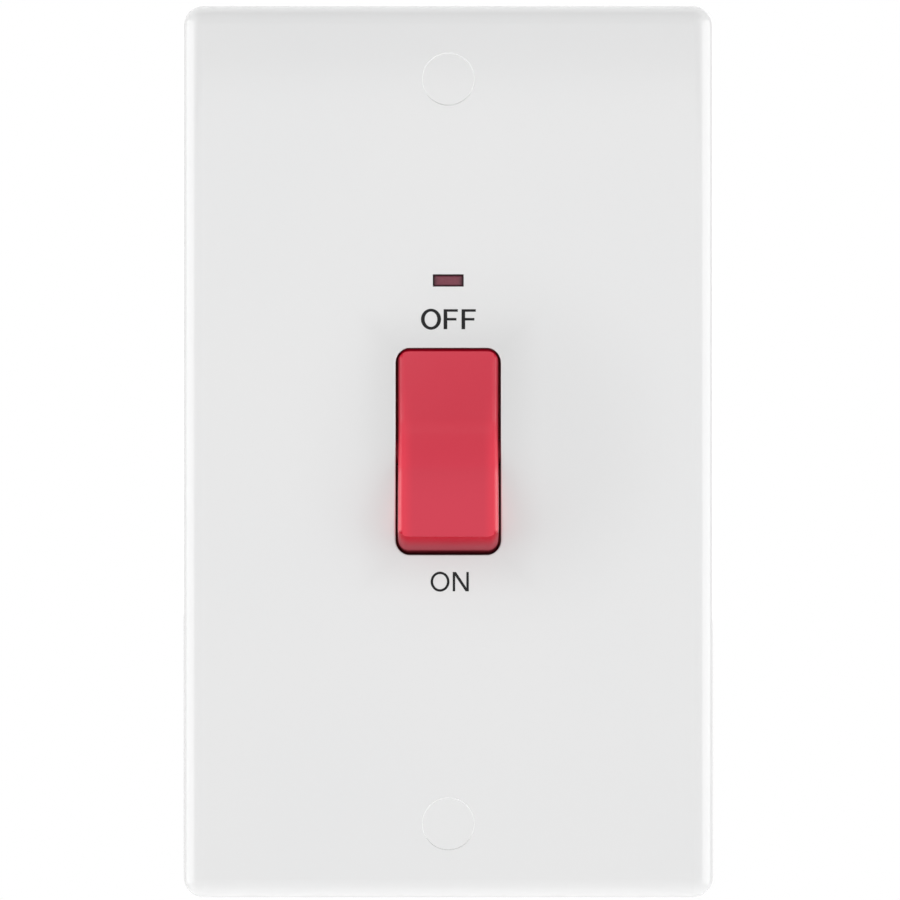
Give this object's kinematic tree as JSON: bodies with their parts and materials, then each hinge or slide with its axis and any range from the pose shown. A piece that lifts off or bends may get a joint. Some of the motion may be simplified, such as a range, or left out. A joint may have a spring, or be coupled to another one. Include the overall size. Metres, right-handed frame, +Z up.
{
  "type": "cooker switch",
  "caption": "Tall white moulded cooker switch with a red rocker, a red indicator window, flush screw caps, and a contact base with cable terminals behind the plate.",
  "frame": {"origin": "centre of the plate's flat back rim, on the wall plane", "axes": "+X to the right as seen from the front, +Y into the wall, +Z up"},
  "size_m": [0.087, 0.0436, 0.146],
  "materials": {
    "white_moulding": "smooth gloss moulding",
    "red_moulding": "smooth gloss moulding",
    "base_moulding": "fine matt moulding",
    "plunger_plastic": "smooth self-lubricating plastic",
    "plated_steel": "bright plated",
    "spring_steel": "drawn wire",
    "copper": "pressed copper strip",
    "silver": "bright contact metal",
    "strip_brass": "blanked strip",
    "terminal_brass": "machined",
    "screw_brass": "turned",
    "lens_red": "clear dark red",
    "lamp_glass": "clear glass",
    "resistor_body": "lacquered",
    "lead_copper": "tinned wire"
  },
  "bodies": {
    "housing": {"front_plate": "white_moulding", "screw_cap_upper": "white_moulding", "screw_cap_lower": "white_moulding", "switch_base": "base_moulding", "plate_screws": "plated_steel", "base_screws": "plated_steel", "fixed_tip_live": "silver", "fixed_tip_neutral": "silver", "load_strip_live": "strip_brass", "load_strip_neutral": "strip_brass", "supply_strip_live": "strip_brass", "supply_strip_neutral": "strip_brass", "load_terminal_live": "terminal_brass", "load_terminal_neutral": "terminal_brass", "supply_terminal_live": "terminal_brass", "supply_terminal_neutral": "terminal_brass", "earth_terminal": "terminal_brass", "terminal_screws": "screw_brass", "earth_screw": "screw_brass", "neon_lens": "lens_red", "neon_lamp": "lamp_glass", "neon_resistor": "resistor_body", "neon_leads": "lead_copper"},
    "rocker": {"rocker": "red_moulding", "plunger_spring_live": "spring_steel", "plunger_spring_neutral": "spring_steel"},
    "plunger_live": {"plunger_live": "plunger_plastic"},
    "plunger_neutral": {"plunger_neutral": "plunger_plastic"},
    "contact_live": {"moving_contact_live": "copper", "moving_tip_live": "silver"},
    "contact_neutral": {"moving_contact_neutral": "copper", "moving_tip_neutral": "silver"}
  },
  "joints": [
    {"name": "rocker_tilt", "type": "hinge", "parent": "housing", "child": "rocker", "pos_m": [0, -0.003, 0], "axis": [1, 0, 0], "range_deg": [0, 17.6]},
    {"name": "contact_live_rock", "type": "hinge", "parent": "housing", "child": "contact_live", "pos_m": [0.00402, 0.00791, 0], "axis": [1, 0, 0], "range_deg": [-14, 0]},
    {"name": "contact_neutral_rock", "type": "hinge", "parent": "housing", "child": "contact_neutral", "pos_m": [-0.00402, 0.00791, 0], "axis": [1, 0, 0], "range_deg": [-14, 0]},
    {"name": "plunger_live_slide", "type": "slide", "parent": "rocker", "child": "plunger_live", "axis": [0, -0.9882, 0.153], "range_m": [0, 0.0015], "stiffness_N_per_m": 250, "springref_m": -0.004, "deforming": ["plunger_spring_live"]},
    {"name": "plunger_neutral_slide", "type": "slide", "parent": "rocker", "child": "plunger_neutral", "axis": [0, -0.9882, 0.153], "range_m": [0, 0.0015], "stiffness_N_per_m": 250, "springref_m": -0.004, "deforming": ["plunger_spring_neutral"]}
  ],
  "couplings": [
    {"joint": "contact_live_rock", "follows": "rocker_tilt", "ratio": -0.79545},
    {"joint": "contact_neutral_rock", "follows": "rocker_tilt", "ratio": -0.79545}
  ]
}
